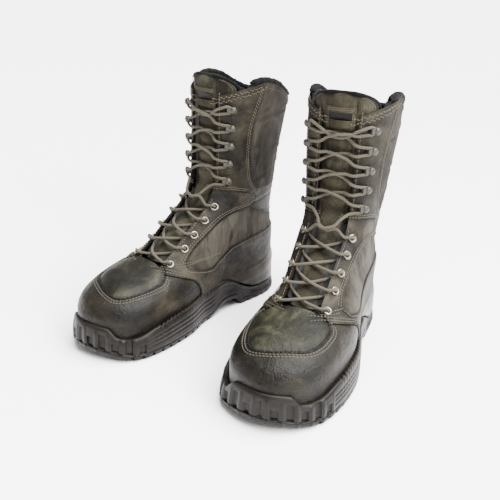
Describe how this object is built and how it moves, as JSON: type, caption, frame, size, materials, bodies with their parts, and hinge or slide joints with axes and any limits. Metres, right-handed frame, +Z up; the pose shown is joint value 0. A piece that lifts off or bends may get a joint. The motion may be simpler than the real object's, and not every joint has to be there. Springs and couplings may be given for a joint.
{
  "type": "pair of insulated hunting boots",
  "caption": "Pair of lace-up insulated hunting boots with moc toe, ring eyelets below speed hooks, padded tongue and lugged rubber outsole.",
  "frame": {"origin": "centre of the pair's bounding box in plan, on the ground under the soles", "axes": "+Z up, -Y towards the toes, +X towards the wearer's left boot"},
  "size_m": [0.3399, 0.3299, 0.2969],
  "materials": {
    "outsole": "matt, brushed by wear",
    "midsole": "moulded foam",
    "heel_clip": "moulded",
    "shank": "plain spring steel",
    "lasting_board": "pressed board",
    "toe_puff": "thermoplastic sheet",
    "heel_counter": "thermoplastic sheet",
    "insulated_bootie": "brushed insulated lining",
    "footbed": "foam faced with fabric",
    "mudguard": "oiled, dark",
    "vamp_plug": "oiled, mottled olive",
    "quarter": "oiled, mottled olive",
    "hook_panel": "oiled, mottled olive",
    "ankle_band": "oiled, mottled olive",
    "side_panel": "woven, mottled grey and olive",
    "rear_shaft_panel": "woven, mottled grey and olive",
    "collar_binding": "padded, dark",
    "tongue": "padded, mesh faced at the top",
    "lace_keeper": "woven webbing",
    "eyelet_row": "antiqued nickel plate, rolled rings",
    "hook_row": "olive enamel over steel",
    "lace": "round braided cord"
  },
  "bodies": {
    "right_boot": {"right_outsole": "outsole", "right_midsole": "midsole", "right_shank": "shank", "right_lasting_board": "lasting_board", "right_toe_puff": "toe_puff", "right_heel_counter": "heel_counter", "right_insulated_bootie": "insulated_bootie", "right_mudguard": "mudguard", "right_vamp_plug": "vamp_plug", "right_ankle_band": "ankle_band", "right_rear_shaft_panel": "rear_shaft_panel", "right_heel_clip": "heel_clip", "right_collar_binding": "collar_binding", "right_lateral_quarter": "quarter", "right_lateral_side_panel": "side_panel", "right_lateral_hook_panel": "hook_panel", "right_lateral_eyelet_row": "eyelet_row", "right_lateral_hook_row": "hook_row", "right_medial_quarter": "quarter", "right_medial_side_panel": "side_panel", "right_medial_hook_panel": "hook_panel", "right_medial_eyelet_row": "eyelet_row", "right_medial_hook_row": "hook_row", "right_lace": "lace"},
    "right_tongue": {"right_tongue": "tongue", "right_lace_keeper": "lace_keeper"},
    "right_footbed": {"right_footbed": "footbed"},
    "left_boot": {"left_outsole": "outsole", "left_midsole": "midsole", "left_shank": "shank", "left_lasting_board": "lasting_board", "left_toe_puff": "toe_puff", "left_heel_counter": "heel_counter", "left_insulated_bootie": "insulated_bootie", "left_mudguard": "mudguard", "left_vamp_plug": "vamp_plug", "left_ankle_band": "ankle_band", "left_rear_shaft_panel": "rear_shaft_panel", "left_heel_clip": "heel_clip", "left_collar_binding": "collar_binding", "left_lateral_quarter": "quarter", "left_lateral_side_panel": "side_panel", "left_lateral_hook_panel": "hook_panel", "left_lateral_eyelet_row": "eyelet_row", "left_lateral_hook_row": "hook_row", "left_medial_quarter": "quarter", "left_medial_side_panel": "side_panel", "left_medial_hook_panel": "hook_panel", "left_medial_eyelet_row": "eyelet_row", "left_medial_hook_row": "hook_row", "left_lace": "lace"},
    "left_tongue": {"left_tongue": "tongue", "left_lace_keeper": "lace_keeper"},
    "left_footbed": {"left_footbed": "footbed"}
  },
  "joints": [
    {"name": "left_boot_lift", "type": "slide", "parent": "right_boot", "child": "left_boot", "axis": [0, 0, 1], "range_m": [0, 0.15]},
    {"name": "right_tongue_tilt", "type": "hinge", "parent": "right_boot", "child": "right_tongue", "pos_m": [-0.10031, -0.04626, 0.08155], "axis": [-0.9781, 0.2079, 0], "range_deg": [0, 12], "stiffness_Nm_per_rad": 0.6, "springref_deg": -6.88},
    {"name": "right_footbed_lift", "type": "hinge", "parent": "right_boot", "child": "right_footbed", "pos_m": [-0.11954, -0.13675, 0.02741], "axis": [0.9781, -0.2079, 0], "range_deg": [0, 6]},
    {"name": "left_tongue_tilt", "type": "hinge", "parent": "left_boot", "child": "left_tongue", "pos_m": [0.10274, -0.05712, 0.08155], "axis": [-0.9945, -0.1045, 0], "range_deg": [0, 12], "stiffness_Nm_per_rad": 0.6, "springref_deg": -6.88},
    {"name": "left_footbed_lift", "type": "hinge", "parent": "left_boot", "child": "left_footbed", "pos_m": [0.11241, -0.14911, 0.02741], "axis": [0.9945, 0.1045, 0], "range_deg": [0, 6]}
  ]
}
